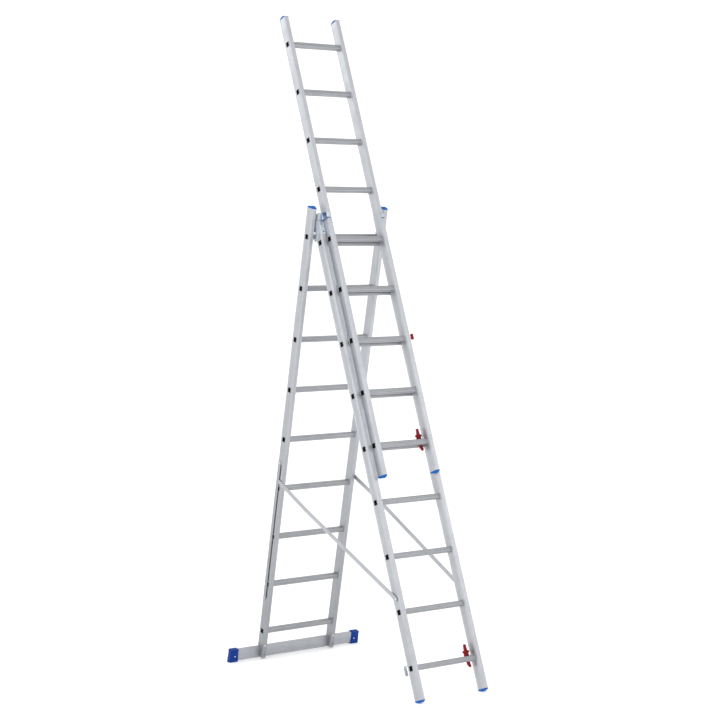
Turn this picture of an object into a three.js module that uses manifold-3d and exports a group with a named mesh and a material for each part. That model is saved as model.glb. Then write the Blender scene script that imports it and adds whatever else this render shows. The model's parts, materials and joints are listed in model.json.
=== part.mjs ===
// Three-section aluminium ladder, set up as a stepladder with its upper section run out.
// Millimetres, +Z up, +X to the right along the rungs, the climbing side faces -Y.
// Every section is drawn in its own frame first: origin on the axis of its lowest rung, x along
// the rung, y towards the rear, z up the stiles. Groups then lean and place the sections.

import * as THREE from 'three';
import { mergeVertices } from 'three/addons/utils/BufferGeometryUtils.js';
import Module from 'manifold-3d';

const wasm = await Module();
wasm.setup();

// ---- driving dimensions ----
const GAP = 0.3;                  // air between two pieces that touch
const RUNG_COUNT = 9;
const RUNG_PITCH = 280;
const RUNG_HEIGHT = 28;
const RUNG_DEPTH = 30;
const RUNG_WALL = 1.6;
const RUNG_CHAMFER = 7;
const STILE_WIDTH = 25;
const STILE_DEPTH = 58;
const STILE_WALL = 1.6;
const STILE_CHAMFER = 2.5;
const STILE_BELOW = 158;          // stile tube below the lowest rung's axis
const STILE_ABOVE = 153;          // stile tube above the highest rung's axis
const MIDDLE_WIDTH = 416;         // over the stiles
const NEST_STEP = 62;             // each section is this much narrower than the one behind it
const NEST_DEPTH = 46;            // from one section's rungs to the next one's when nested
const MIDDLE_LEAN = 18.6;         // degrees from upright, top to the rear
const REAR_LEAN = 15.1;           // degrees from upright, top to the front
const RAISED_RUNGS = 4;           // how far the upper section is run out
const RAISED_EXTRA = 3;
const CAP_RIM = 2;
const CAP_BULGE = 10;
const PLUG_DEPTH = 18;
const HINGE_ABOVE_MIDDLE = 87.5;  // hinge axis above the middle section's top rung
const HINGE_ABOVE_REAR = 33.2;    // hinge axis above the rear section's top rung
const HINGE_PIN_RADIUS = 6;
const PLATE_THICK = 3;
const BAR_LENGTH = 846;
const BAR_HEIGHT = 65;
const BAR_DEPTH = 22;
const BAR_WALL = 2;
const BAR_DROP = 97;              // top of the stabiliser bar below the rear section's lowest rung
const BAR_SETBACK = 34;           // from the rear stile's front face to the bar
const APRON_DROP = 152;           // the rear stile's front half ends this far below that rung
const FOOT_WIDTH = 50;
const FOOT_WALL = 3;
const TRACK_LOW = 183;
const TRACK_HIGH = 994;
const TRACK_THICK = 1.5;
const TRACK_WIDTH = 24;
const STAY_PIVOT_HEIGHT = 348;    // on the middle section, above its lowest rung
const STAY_END_HEIGHT = 882;      // on the rear section, above its lowest rung
const STAY_WIDTH = 24;
const STAY_THICK = 2.6;
const STAY_WASHER = 2;
const STAY_WASHER_RADIUS = 9;
const STAY_STRAIGHT_LOW = 40;     // the strip's straight stretches at its two ends
const STAY_STRAIGHT_HIGH = 300;
const STAY_SHORT = 10;            // its round end stops this far short of the track's slot
const LEVER_INSET = 26;           // from the stile's inner face to the lever
const LEVER_BACK = 16.5;          // from the rung's axis to the lever's front
const LEVER_THICK = 12;
const LOCK_HEIGHT = 6 * RUNG_PITCH + 21;
const LOCK_BACK = -20;
const LOCK_HANDLE_DEPTH = 9;

const REAR_WIDTH = MIDDLE_WIDTH + NEST_STEP;
const UPPER_WIDTH = MIDDLE_WIDTH - NEST_STEP;
const TOP_RUNG = (RUNG_COUNT - 1) * RUNG_PITCH;
const HALF_DEPTH = STILE_DEPTH / 2;
const SIDES = [['left', -1], ['right', 1]];

// ---- finishes ----
function finish(color, roughness, metalness) {
  return new THREE.MeshStandardMaterial({ color, roughness, metalness });
}
const STILE_ALUMINIUM = finish(0xc3c6cb, 0.42, 0.85);
const RUNG_ALUMINIUM = finish(0xb4b7bb, 0.45, 0.85);
const ZINC_STEEL = finish(0x9fabb8, 0.35, 0.9);
const BLUE_PLASTIC = finish(0x1553a4, 0.45, 0);
const RED_PLASTIC = finish(0x9c1f24, 0.45, 0);

// ---- shape helpers ----
function toSolid(geometry) {
  const bare = geometry.index ? geometry.toNonIndexed() : geometry.clone();
  bare.deleteAttribute('normal');
  bare.deleteAttribute('uv');
  const merged = mergeVertices(bare, 1e-4);
  return new wasm.Manifold(new wasm.Mesh({
    numProp: 3,
    vertProperties: new Float32Array(merged.attributes.position.array),
    triVerts: new Uint32Array(merged.index.array),
  }));
}

function toGeometry(solid) {
  const mesh = solid.getMesh();
  const geometry = new THREE.BufferGeometry();
  geometry.setAttribute('position', new THREE.BufferAttribute(new Float32Array(mesh.vertProperties), 3));
  geometry.setIndex(new THREE.BufferAttribute(new Uint32Array(mesh.triVerts), 1));
  geometry.computeVertexNormals();
  return geometry;
}

function cut(base, ...tools) {
  const solid = tools.reduce((left, tool) => left.subtract(toSolid(tool)), toSolid(base));
  return toGeometry(solid);
}

function common(base, tool) {
  return toGeometry(toSolid(base).intersect(toSolid(tool)));
}

function join(...geometries) {
  const [first, ...rest] = geometries.map(toSolid);
  return toGeometry(rest.reduce((sum, solid) => sum.add(solid), first));
}

function box(x, y, z, [cx, cy, cz]) {
  return new THREE.BoxGeometry(x, y, z).translate(cx, cy, cz);
}

// A round bar along x, from x0 to x1.
function rod(radius, x0, x1, y, z, segments = 12) {
  const geometry = new THREE.CylinderGeometry(radius, radius, Math.abs(x1 - x0), segments);
  return geometry.rotateZ(Math.PI / 2).translate((x0 + x1) / 2, y, z);
}

function outline(points) {
  return new THREE.Shape(points.map(([u, v]) => new THREE.Vector2(u, v)));
}

function chamferedRectangle(width, height, chamfer) {
  const w = width / 2;
  const h = height / 2;
  const c = chamfer;
  return [[w, -h + c], [w, h - c], [w - c, h], [-w + c, h], [-w, h - c], [-w, -h + c], [-w + c, -h], [w - c, -h]];
}

function shifted(points, du, dv) {
  return points.map(([u, v]) => [u + du, v + dv]);
}

function extrude(shape, length) {
  return new THREE.ExtrudeGeometry(shape, { depth: length, bevelEnabled: false, curveSegments: 8 });
}

// Turns an outline drawn as (y, z) into a slab of the given thickness that starts at x0.
function slabAlongX(shape, thickness, x0) {
  const turn = new THREE.Matrix4().makeBasis(
    new THREE.Vector3(0, 1, 0), new THREE.Vector3(0, 0, 1), new THREE.Vector3(1, 0, 0));
  return extrude(shape, thickness).applyMatrix4(turn).translate(x0, 0, 0);
}

// Turns an outline drawn as (x, z) into a slab of the given thickness that starts at y0.
function slabAlongY(shape, thickness, y0) {
  const turn = new THREE.Matrix4().makeBasis(
    new THREE.Vector3(1, 0, 0), new THREE.Vector3(0, 0, 1), new THREE.Vector3(0, -1, 0));
  return extrude(shape, thickness).applyMatrix4(turn).translate(0, y0 + thickness, 0);
}

function piece(name, geometry, material) {
  const mesh = new THREE.Mesh(geometry, material);
  mesh.name = name;
  return mesh;
}

// ---- stiles and rungs ----
function rungHeights() {
  return Array.from({ length: RUNG_COUNT }, (unused, index) => index * RUNG_PITCH);
}

// A hollow box profile, pierced by every rung, from STILE_BELOW under the lowest one to STILE_ABOVE
// over the highest one. centre is the x of the stile's middle.
function stileGeometry(centre, below = STILE_BELOW) {
  const shape = outline(shifted(chamferedRectangle(STILE_WIDTH, STILE_DEPTH, STILE_CHAMFER), centre, 0));
  const bore = chamferedRectangle(STILE_WIDTH - 2 * STILE_WALL, STILE_DEPTH - 2 * STILE_WALL, STILE_CHAMFER / 2);
  shape.holes.push(outline(shifted(bore, centre, 0)));
  const tube = extrude(shape, below + TOP_RUNG + STILE_ABOVE).translate(0, 0, -below);
  const clearance = 2 * GAP;
  const hole = outline(chamferedRectangle(RUNG_DEPTH + clearance, RUNG_HEIGHT + clearance, RUNG_CHAMFER));
  const piercings = rungHeights().map((z) =>
    slabAlongX(hole, 2 * STILE_WIDTH, centre - STILE_WIDTH).translate(0, 0, z));
  return cut(tube, ...piercings);
}

// A rung runs through both stiles and ends flush with their outer faces; a web splits its hollow.
function rungGeometry(width) {
  const shape = outline(chamferedRectangle(RUNG_DEPTH, RUNG_HEIGHT, RUNG_CHAMFER));
  const cellHeight = (RUNG_HEIGHT - 3 * RUNG_WALL) / 2;
  const cell = chamferedRectangle(RUNG_DEPTH - 2 * RUNG_WALL, cellHeight, RUNG_CHAMFER - RUNG_WALL);
  for (const side of [-1, 1]) {
    shape.holes.push(outline(shifted(cell, 0, side * (cellHeight + RUNG_WALL) / 2)));
  }
  return slabAlongX(shape, width, -width / 2);
}

function addStilesAndRungs(group, section, width, makeStile) {
  for (const [side, sign] of SIDES) {
    const centre = sign * (width - STILE_WIDTH) / 2;
    group.add(piece(`${section}_stile_${side}`, makeStile(centre, sign), STILE_ALUMINIUM));
  }
  rungHeights().forEach((z, index) => {
    const rung = piece(`${section}_rung_${index + 1}`, rungGeometry(width), RUNG_ALUMINIUM);
    rung.position.z = z;
    group.add(rung);
  });
}

// ---- end caps ----
// Side view of a cap that hangs under the end of a stile, in y and z, its flat rim at z = 0.
function capOutline() {
  const radius = (HALF_DEPTH ** 2 + CAP_BULGE ** 2) / (2 * CAP_BULGE);
  const halfAngle = Math.asin(HALF_DEPTH / radius);
  const steps = 12;
  const arc = [];
  for (let step = 0; step <= steps; step += 1) {
    const angle = halfAngle * (1 - 2 * step / steps);
    arc.push([radius * Math.sin(angle), -CAP_RIM - CAP_BULGE + radius * (1 - Math.cos(angle))]);
  }
  return [[-HALF_DEPTH, 0], ...arc.reverse(), [HALF_DEPTH, 0]];
}

// The cap with the plug that holds it in the stile. It hangs down, and end is the z of the stile's end.
function capGeometry(centre, pointsUp, end) {
  const body = slabAlongX(outline(capOutline()), STILE_WIDTH, centre - STILE_WIDTH / 2).translate(0, 0, -GAP);
  const inset = 2 * (STILE_WALL + STILE_CHAMFER / 2 + GAP);
  const plug = box(STILE_WIDTH - inset, STILE_DEPTH - inset, PLUG_DEPTH, [centre, 0, PLUG_DEPTH / 2 - 1]);
  const cap = join(body, plug);
  if (pointsUp) {
    cap.rotateY(Math.PI).translate(2 * centre, 0, 0);
  }
  return cap.translate(0, 0, end);
}

function addCaps(group, section, width, place, pointsUp, end) {
  for (const [side, sign] of SIDES) {
    const centre = sign * (width - STILE_WIDTH) / 2;
    group.add(piece(`${section}_${place}_cap_${side}`, capGeometry(centre, pointsUp, end), BLUE_PLASTIC));
  }
}

// ---- brackets at the head of the middle section ----
// A steel strap riveted to the front of the middle stile; it reaches round the upper stile.
function guideBracketGeometry(sign) {
  const outer = MIDDLE_WIDTH / 2;
  const front = -HALF_DEPTH - GAP;
  const plateLow = TOP_RUNG + 37;
  const plateHigh = TOP_RUNG + 150;
  const strapLow = TOP_RUNG + 112;
  const strapHigh = TOP_RUNG + 146;
  const webInner = UPPER_WIDTH / 2 + 2;
  const webThick = 2.5;
  const lipReach = 18;
  const upperFront = -NEST_DEPTH - HALF_DEPTH;
  const lipBack = upperFront - 0.7;
  const plate = box(outer - webInner, webThick, plateHigh - plateLow,
    [sign * (outer + webInner) / 2, front - webThick / 2, (plateLow + plateHigh) / 2]);
  const web = box(webThick, front - lipBack + webThick, strapHigh - strapLow,
    [sign * (webInner + webThick / 2), (front + lipBack - webThick) / 2, (strapLow + strapHigh) / 2]);
  const lip = box(lipReach + webThick, webThick, strapHigh - strapLow,
    [sign * (webInner + webThick - (lipReach + webThick) / 2), lipBack - webThick / 2, (strapLow + strapHigh) / 2]);
  return join(plate, web, lip);
}

// The plate that carries the hinge pin, in the gap between the middle stile and the rear stile.
function hingePlateGeometry(sign) {
  const pinHeight = TOP_RUNG + HINGE_ABOVE_MIDDLE;
  const eye = 14;
  const low = TOP_RUNG + 19;
  const points = [
    [-12, pinHeight - 34], [-12, TOP_RUNG + 140], [18, TOP_RUNG + 140],
    [NEST_DEPTH + eye * 0.6, pinHeight + eye * 0.8], [NEST_DEPTH + eye, pinHeight],
    [NEST_DEPTH + eye * 0.7, pinHeight - eye * 0.7], [NEST_DEPTH, pinHeight - eye],
    [27, pinHeight - eye], [24, pinHeight - 26], [24, TOP_RUNG + 40],
    [30, TOP_RUNG + 33], [46, TOP_RUNG + 32], [42, low], [24, low], [6, TOP_RUNG + 24],
  ];
  const x0 = sign * (MIDDLE_WIDTH / 2 + GAP + PLATE_THICK / 2) - PLATE_THICK / 2;
  const plate = slabAlongX(outline(points.reverse()), PLATE_THICK, x0);
  const hole = rod(HINGE_PIN_RADIUS + GAP, x0 - 1, x0 + PLATE_THICK + 1, NEST_DEPTH, pinHeight);
  return cut(plate, hole);
}

// The hinge pin: its head lies behind the middle stile, its tail ends inside the hollow rear stile.
function hingePinGeometry(sign) {
  const pinHeight = TOP_RUNG + HINGE_ABOVE_MIDDLE;
  const headInner = MIDDLE_WIDTH / 2 - 5;
  const headOuter = MIDDLE_WIDTH / 2;
  const tail = REAR_WIDTH / 2 - STILE_WIDTH + STILE_WALL + 6;
  const head = rod(HINGE_PIN_RADIUS + 4, sign * headInner, sign * headOuter, NEST_DEPTH, pinHeight);
  const shank = rod(HINGE_PIN_RADIUS, sign * (headInner + 1), sign * tail, NEST_DEPTH, pinHeight);
  return join(head, shank);
}

// A strip hook on the rear face of the middle stile, bent out, down and in: it drops over a rung of the
// rear section when the two are used end to end.
function hookGeometry(sign) {
  const back = HALF_DEPTH + GAP;
  const width = 18;
  const outer = MIDDLE_WIDTH / 2 - 6;
  const strip = outline([
    [back, -18], [back + PLATE_THICK, -18], [back + PLATE_THICK, 19], [65, 19], [69, 15], [69, -24], [67, -26],
    [64, -26.2], [64, -29], [68, -29], [72, -25], [72, 16], [66, 22], [back, 22],
  ]);
  return slabAlongX(strip, width, sign > 0 ? outer - width : -outer);
}

// ---- red pieces ----
// Front view of a rung lever in x and z about its pivot: stem and shoulders above, hook below.
function leverGeometry() {
  const points = [
    [-5, 76], [5, 76], [7, 52], [9, 44], [17, 44], [18, 34], [11, 31], [13, 18], [7, 12],
    [8, -14], [12, -34], [10, -42], [4, -40], [-6, -26], [-8, 12], [-14, 18],
    [-12, 31], [-18, 34], [-17, 44], [-9, 44], [-7, 52],
  ];
  return slabAlongY(outline(points.reverse()), LEVER_THICK, LEVER_BACK);
}

function lever(name, width) {
  const mesh = piece(name, leverGeometry(), RED_PLASTIC);
  mesh.position.x = width / 2 - STILE_WIDTH - LEVER_INSET;
  return mesh;
}

// A spring plunger through the right middle stile: a winged handle stands clear of the outer face, and
// the tip ends just short of the upper stile.
function lockKnobGeometry() {
  const face = MIDDLE_WIDTH / 2;
  const pin = rod(4, UPPER_WIDTH / 2 + 1.5, face + 16, LOCK_BACK, LOCK_HEIGHT);
  const wings = outline([
    [11, -7], [14, -8], [15.5, -15.5], [27, -15.5], [29, -12], [29, 12], [27, 15.5], [15.5, 15.5], [14, 8], [11, 7],
  ].map(([x, z]) => [face + x, LOCK_HEIGHT + z]));
  return join(pin, slabAlongY(wings, LOCK_HANDLE_DEPTH, LOCK_BACK - LOCK_HANDLE_DEPTH / 2));
}

// ---- stays between the leg sections ----
// Measured in the middle section's side view: y to the rear, z up its stile.
function hingeInMiddle() {
  return new THREE.Vector2(NEST_DEPTH, TOP_RUNG + HINGE_ABOVE_MIDDLE);
}

function stayEndInMiddle() {
  const fold = THREE.MathUtils.degToRad(MIDDLE_LEAN + REAR_LEAN);
  const down = TOP_RUNG + HINGE_ABOVE_REAR - STAY_END_HEIGHT;
  return hingeInMiddle().add(new THREE.Vector2(down * Math.sin(fold), -down * Math.cos(fold)));
}

// A thin strip, cranked outwards between two straight stretches: its pivot lies on the middle stile's
// outer face, and its free end clears the track on the wider rear stile.
function stayGeometry(sign) {
  const end = stayEndInMiddle().sub(new THREE.Vector2(0, STAY_PIVOT_HEIGHT));
  const length = end.length() - STAY_SHORT;
  const half = STAY_WIDTH / 2;
  const inner = MIDDLE_WIDTH / 2 + GAP + STAY_WASHER;
  const outer = REAR_WIDTH / 2 + GAP + TRACK_THICK + 0.5;
  const bend = [[inner, -half], [inner, STAY_STRAIGHT_LOW], [outer, length - STAY_STRAIGHT_HIGH], [outer, length + half]];
  const path = [...bend, ...shifted(bend, STAY_THICK, 0).reverse()];
  const strip = slabAlongY(outline(path.map(([x, z]) => [sign * x, z])), STAY_WIDTH, -half);
  const round = (middle, direction) => Array.from({ length: 7 }, (unused, step) => {
    const angle = Math.PI * step / 6;
    return [direction * half * Math.cos(angle), middle + direction * half * Math.sin(angle)];
  });
  const sideView = slabAlongX(outline([...round(length, 1), ...round(0, -1)]), 2 * outer + 4 * STAY_THICK, 0);
  const rounded = common(strip, sideView.translate(-outer - 2 * STAY_THICK, 0, 0));
  const washer = rod(STAY_WASHER_RADIUS, sign * (inner - STAY_WASHER), sign * (inner + 1), 0, 0, 16);
  return join(rounded, washer);
}

function addStays(group) {
  const end = stayEndInMiddle().sub(new THREE.Vector2(0, STAY_PIVOT_HEIGHT));
  for (const [side, sign] of SIDES) {
    const stay = piece(`stay_${side}`, stayGeometry(sign), STILE_ALUMINIUM);
    stay.position.z = STAY_PIVOT_HEIGHT;
    stay.rotation.x = -Math.atan2(end.x, end.y);
    group.add(stay);
  }
}

// ---- rear section's own pieces ----
// The rear stile's rear half ends on top of the stabiliser bar; its front half runs down before it.
function rearStileGeometry(centre, sign) {
  const stile = stileGeometry(centre, APRON_DROP);
  const notchHeight = BAR_HEIGHT + STILE_WIDTH;
  const notch = box(2 * STILE_WIDTH, STILE_DEPTH, notchHeight,
    [centre, -HALF_DEPTH + BAR_SETBACK + STILE_DEPTH / 2, -BAR_DROP + GAP - notchHeight / 2]);
  const slot = box(8, 9, TRACK_HIGH - TRACK_LOW - 30,
    [centre + sign * STILE_WIDTH / 2, -3.5, (TRACK_HIGH + TRACK_LOW) / 2]);
  const pinHole = rod(HINGE_PIN_RADIUS + GAP, centre - sign * (STILE_WIDTH / 2 + 5), centre - sign * 5,
    0, TOP_RUNG + HINGE_ABOVE_REAR);
  return cut(stile, notch, slot, pinHole);
}

// A thin strip along the rear half of the stile's outer face, beside the slot.
function trackGeometry(sign) {
  const x = sign * (REAR_WIDTH / 2 + GAP + TRACK_THICK / 2);
  return box(TRACK_THICK, TRACK_WIDTH, TRACK_HIGH - TRACK_LOW,
    [x, 2 + TRACK_WIDTH / 2, (TRACK_HIGH + TRACK_LOW) / 2]);
}

const BAR_FRONT = -HALF_DEPTH + BAR_SETBACK + GAP;
const BAR_MIDDLE = [BAR_FRONT + BAR_DEPTH / 2, -BAR_DROP - BAR_HEIGHT / 2];

function barGeometry() {
  const shape = outline(shifted(chamferedRectangle(BAR_DEPTH, BAR_HEIGHT, 3), ...BAR_MIDDLE));
  const bore = chamferedRectangle(BAR_DEPTH - 2 * BAR_WALL, BAR_HEIGHT - 2 * BAR_WALL, 1.5);
  shape.holes.push(outline(shifted(bore, ...BAR_MIDDLE)));
  return slabAlongX(shape, BAR_LENGTH, -BAR_LENGTH / 2);
}

// A plastic shoe on the bar's end. Its sole is level, groundDrop below the lowest rung's axis.
function footGeometry(sign, groundDrop) {
  const lean = THREE.MathUtils.degToRad(REAR_LEAN);
  const level = (y) => (-groundDrop - y * Math.sin(lean)) / Math.cos(lean);
  const front = BAR_FRONT - FOOT_WALL;
  const back = BAR_FRONT + BAR_DEPTH + FOOT_WALL;
  const top = -BAR_DROP + FOOT_WALL;
  const waistLow = -BAR_DROP - BAR_HEIGHT * 0.55;
  const toe = 2.5;
  const shape = outline([
    [front - toe, level(front - toe)], [back + toe, level(back + toe)], [back + toe, waistLow - 8],
    [back, waistLow], [back, top - 6], [back + toe, top], [front - toe, top],
    [front, top - 6], [front, waistLow], [front - toe, waistLow - 8],
  ]);
  const outer = BAR_LENGTH / 2 + FOOT_WALL;
  const x0 = sign > 0 ? outer - FOOT_WIDTH : -outer;
  const shoe = slabAlongX(shape, FOOT_WIDTH, x0);
  const socket = slabAlongX(
    outline(shifted(chamferedRectangle(BAR_DEPTH + 2 * GAP, BAR_HEIGHT + 2 * GAP, 3), ...BAR_MIDDLE)),
    FOOT_WIDTH, sign > 0 ? outer - FOOT_WIDTH - FOOT_WALL + GAP : -outer + FOOT_WALL - GAP);
  return cut(shoe, socket);
}

// ---- sections ----
function buildUpperSection() {
  const group = new THREE.Group();
  addStilesAndRungs(group, 'upper', UPPER_WIDTH, (centre) => stileGeometry(centre));
  addCaps(group, 'upper', UPPER_WIDTH, 'bottom', false, -STILE_BELOW);
  addCaps(group, 'upper', UPPER_WIDTH, 'top', true, TOP_RUNG + STILE_ABOVE);
  group.add(lever('upper_lock_lever', UPPER_WIDTH));
  group.position.set(0, -NEST_DEPTH, RAISED_RUNGS * RUNG_PITCH + RAISED_EXTRA);
  return group;
}

function middleStileGeometry(centre, sign) {
  const stile = stileGeometry(centre);
  if (sign < 0) {
    return stile;
  }
  const reach = STILE_WIDTH / 2 + 5;
  return cut(stile, rod(4 + GAP, centre - reach, centre + reach, LOCK_BACK, LOCK_HEIGHT));
}

function buildMiddleSection() {
  const group = new THREE.Group();
  addStilesAndRungs(group, 'middle', MIDDLE_WIDTH, middleStileGeometry);
  addCaps(group, 'middle', MIDDLE_WIDTH, 'bottom', false, -STILE_BELOW);
  for (const [side, sign] of SIDES) {
    group.add(piece(`guide_bracket_${side}`, guideBracketGeometry(sign), ZINC_STEEL));
    group.add(piece(`hinge_plate_${side}`, hingePlateGeometry(sign), ZINC_STEEL));
    group.add(piece(`hinge_pin_${side}`, hingePinGeometry(sign), ZINC_STEEL));
    group.add(piece(`rung_hook_${side}`, hookGeometry(sign), ZINC_STEEL));
  }
  group.add(lever('middle_lock_lever', MIDDLE_WIDTH));
  group.add(piece('lock_knob', lockKnobGeometry(), RED_PLASTIC));
  addStays(group);
  group.add(buildUpperSection());
  group.rotation.x = -THREE.MathUtils.degToRad(MIDDLE_LEAN);
  return group;
}

// Height of the lowest rung's axis above the ground when the leaning middle section stands on its caps.
function middleRungHeight() {
  const lean = THREE.MathUtils.degToRad(MIDDLE_LEAN);
  const drops = capOutline().map(([y, z]) => y * Math.sin(lean) + (STILE_BELOW + GAP - z) * Math.cos(lean));
  return Math.max(...drops);
}

function buildRearSection(groundDrop) {
  const group = new THREE.Group();
  addStilesAndRungs(group, 'rear', REAR_WIDTH, rearStileGeometry);
  addCaps(group, 'rear', REAR_WIDTH, 'top', true, TOP_RUNG + STILE_ABOVE);
  group.add(piece('stabiliser_bar', barGeometry(), STILE_ALUMINIUM));
  for (const [side, sign] of SIDES) {
    group.add(piece(`bar_foot_${side}`, footGeometry(sign, groundDrop), BLUE_PLASTIC));
    group.add(piece(`stay_track_${side}`, trackGeometry(sign), STILE_ALUMINIUM));
  }
  group.rotation.x = THREE.MathUtils.degToRad(REAR_LEAN);
  return group;
}

function buildLadder() {
  const ladder = new THREE.Group();
  const middle = buildMiddleSection();
  middle.position.z = middleRungHeight();
  middle.updateMatrixWorld(true);
  const hinge = hingeInMiddle();
  const hingePoint = middle.localToWorld(new THREE.Vector3(0, hinge.x, hinge.y));
  const lean = THREE.MathUtils.degToRad(REAR_LEAN);
  const hingeUp = TOP_RUNG + HINGE_ABOVE_REAR;
  const rearHeight = hingePoint.z - hingeUp * Math.cos(lean);
  const rear = buildRearSection(rearHeight);
  rear.position.set(0, hingePoint.y + hingeUp * Math.sin(lean), rearHeight);
  ladder.add(middle, rear);

  // The origin is on the ground under the middle of the ladder's box.
  const reach = new THREE.Box3().setFromObject(ladder, true);
  ladder.position.y = -(reach.min.y + reach.max.y) / 2;
  ladder.position.z = -reach.min.z;
  ladder.updateMatrixWorld(true);
  return ladder;
}

export default buildLadder();
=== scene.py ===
"""Builds the looks of a three-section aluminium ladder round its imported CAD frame.

Outlines are drawn in millimetres in a section's own frame: x along the rungs, y towards the rear, z up
the stiles, with the origin on the axis of the section's lowest rung. Finished meshes are in metres, in
the ladder's frame.
"""
import json
import math

import bmesh
import bpy
from bpy.props import FloatProperty, FloatVectorProperty, IntProperty, PointerProperty
from mathutils import Matrix, Vector


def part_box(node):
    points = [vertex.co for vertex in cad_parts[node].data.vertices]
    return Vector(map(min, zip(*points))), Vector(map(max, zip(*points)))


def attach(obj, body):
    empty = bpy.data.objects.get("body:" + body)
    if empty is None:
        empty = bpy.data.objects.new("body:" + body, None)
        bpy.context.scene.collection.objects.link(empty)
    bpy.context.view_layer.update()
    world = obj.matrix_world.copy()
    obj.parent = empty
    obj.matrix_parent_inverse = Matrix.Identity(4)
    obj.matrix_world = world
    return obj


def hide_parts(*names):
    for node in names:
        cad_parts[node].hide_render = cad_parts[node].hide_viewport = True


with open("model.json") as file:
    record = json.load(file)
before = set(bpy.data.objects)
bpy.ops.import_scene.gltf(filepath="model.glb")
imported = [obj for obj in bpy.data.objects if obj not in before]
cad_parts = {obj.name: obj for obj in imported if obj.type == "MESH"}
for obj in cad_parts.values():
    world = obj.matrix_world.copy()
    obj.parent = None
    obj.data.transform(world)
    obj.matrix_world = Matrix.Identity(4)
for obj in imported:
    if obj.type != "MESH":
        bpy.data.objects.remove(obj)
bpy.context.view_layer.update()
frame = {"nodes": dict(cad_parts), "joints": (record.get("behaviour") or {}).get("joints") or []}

bl_info = {
    "name": "Three-section ladder",
    "version": (1, 0, 0),
    "blender": (4, 5, 0),
    "location": "3D View > Sidebar > Ladder",
    "description": "Builds an aluminium combination ladder piece by piece",
    "category": "Add Mesh",
}

MM = 0.001
SIDES = (("left", -1), ("right", 1))
SECTIONS = ("middle", "upper", "rear")
RUNG_COUNT = 9

# Sizes in millimetres. Heights count from the lowest rung's axis, or from the top rung's for the head.
STILE_WIDTH = 25
HALF_DEPTH = 29
STILE_DEPTH = 2 * HALF_DEPTH
STILE_BELOW = 158
STILE_ABOVE = 153
NEST_DEPTH = 46
APRON_DROP = 152
GAP = 0.3
BAR_DROP = 97
BAR_HEIGHT = 65
BAR_DEPTH = 22
BAR_SETBACK = 34
BAR_FRONT = -HALF_DEPTH + BAR_SETBACK + GAP
BAR_HALF_LENGTH = 423
FEET_HALF_SPAN = 426
TRACK_LOW = 183
TRACK_HIGH = 994
LEVER_FRONT = 16.5
LOCK_BACK = -20
LOCK_ABOVE = 21
STRAP_LOW = 112
STRAP_HIGH = 150
SHADED_BAND_HEIGHT = 4.5
SHARP_ANGLE = math.radians(38)


# ---- places ----
def middle_of(node):
    low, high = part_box(node)
    return (low + high) / 2


def section_place(section):
    """The matrix from a section's own frame, in metres, to the ladder's frame."""
    foot = middle_of(f"{section}_rung_1")
    up = (middle_of(f"{section}_rung_{RUNG_COUNT}") - foot).normalized()
    across = Vector((1, 0, 0))
    place = Matrix((across, up.cross(across), up)).transposed().to_4x4()
    place.translation = foot
    return place


def width_of(section):
    low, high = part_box(f"{section}_rung_1")
    return (high.x - low.x) / MM


def stile_centre(section, sign):
    return sign * (WIDTHS[section] - STILE_WIDTH) / 2


PLACES = {section: section_place(section) for section in SECTIONS}
WIDTHS = {section: width_of(section) for section in SECTIONS}
LEANS = {section: math.atan2(place[1][2], place[2][2]) for section, place in PLACES.items()}
TOP_RUNG = (middle_of("middle_rung_9") - middle_of("middle_rung_1")).length / MM
LOCK_HEIGHT = 6 * TOP_RUNG / (RUNG_COUNT - 1) + LOCK_ABOVE


# ---- sizes and colours that a user may change ----
COLOUR = {"subtype": "COLOR", "size": 3, "min": 0, "max": 1}


class LadderExtrusions(bpy.types.PropertyGroup):
    stile_wall: FloatProperty(
        name="Stile wall", description="Thickness of the stile's wall",
        default=1.6 * MM, min=0.8 * MM, max=4 * MM, unit="LENGTH")
    stile_groove: FloatProperty(
        name="Stile groove", description="Depth of the grooves along a stile",
        default=0.55 * MM, min=0, max=1.2 * MM, unit="LENGTH")
    rung_wall: FloatProperty(
        name="Rung wall", description="Thickness of the rung's wall and web",
        default=1.6 * MM, min=0.8 * MM, max=4 * MM, unit="LENGTH")
    rung_groove: FloatProperty(
        name="Rung groove", description="Depth of the tread grooves along a rung",
        default=0.7 * MM, min=0, max=1.2 * MM, unit="LENGTH")
    rung_flare: FloatProperty(
        name="Rung flare", description="How far a rung's crimped ends stand out round the stile's holes",
        default=1.5 * MM, min=0, max=3 * MM, unit="LENGTH")
    rung_count: IntProperty(
        name="Rungs", description="Rungs in each section", default=RUNG_COUNT, min=2, max=14)
    rung_pitch: FloatProperty(
        name="Rung pitch", description="Distance between two rungs",
        default=TOP_RUNG * MM / (RUNG_COUNT - 1), min=0.25, max=0.3, unit="LENGTH")


class LadderFinishes(bpy.types.PropertyGroup):
    stile_colour: FloatVectorProperty(
        name="Stile aluminium", description="Colour of the stiles", default=(0.5, 0.515, 0.545), **COLOUR)
    rung_colour: FloatVectorProperty(
        name="Rung aluminium", description="Colour of the rungs", default=(0.37, 0.38, 0.4), **COLOUR)
    zinc_colour: FloatVectorProperty(
        name="Zinc plate", description="Colour of the steel fittings", default=(0.6, 0.66, 0.74), **COLOUR)
    cap_colour: FloatVectorProperty(
        name="End caps", description="Colour of the stiles' end caps", default=(0.001, 0.11, 0.43), **COLOUR)
    foot_colour: FloatVectorProperty(
        name="Bar feet", description="Colour of the stabiliser bar's feet", default=(0, 0.03, 0.22), **COLOUR)
    lever_colour: FloatVectorProperty(
        name="Levers", description="Colour of the rung levers and the lock knob",
        default=(0.22, 0.006, 0.009), **COLOUR)


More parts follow.
